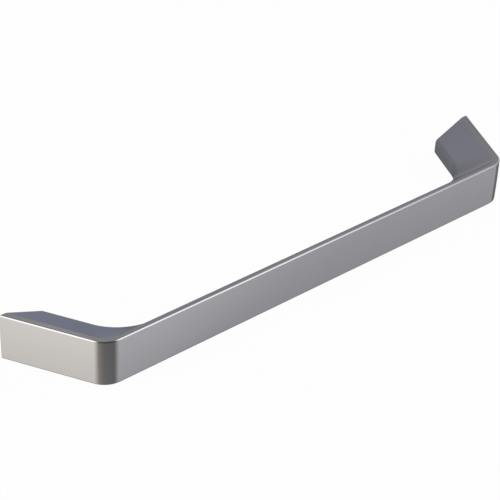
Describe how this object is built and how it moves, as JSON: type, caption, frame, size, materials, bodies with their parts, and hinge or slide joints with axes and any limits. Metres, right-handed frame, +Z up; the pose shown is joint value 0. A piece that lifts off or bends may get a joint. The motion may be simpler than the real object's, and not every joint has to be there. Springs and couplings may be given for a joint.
{
  "type": "furniture pull handle",
  "caption": "Slim flat bar pull handle on splayed legs, cast in one piece with sloping inner sides and a satin metal finish, for drawers and cabinet doors.",
  "frame": {"origin": "midway between the two screw holes, on the mounting face of the feet", "axes": "+X along the bar, +Y out of the mounting face towards the furniture, +Z up across the height of the bar"},
  "size_m": [0.1778, 0.0272, 0.0136],
  "materials": {
    "satin_metal": "satin nickel plate, finely brushed along the bar and the legs"
  },
  "bodies": {
    "root": {"pull_handle": "satin_metal"}
  },
  "joints": []
}
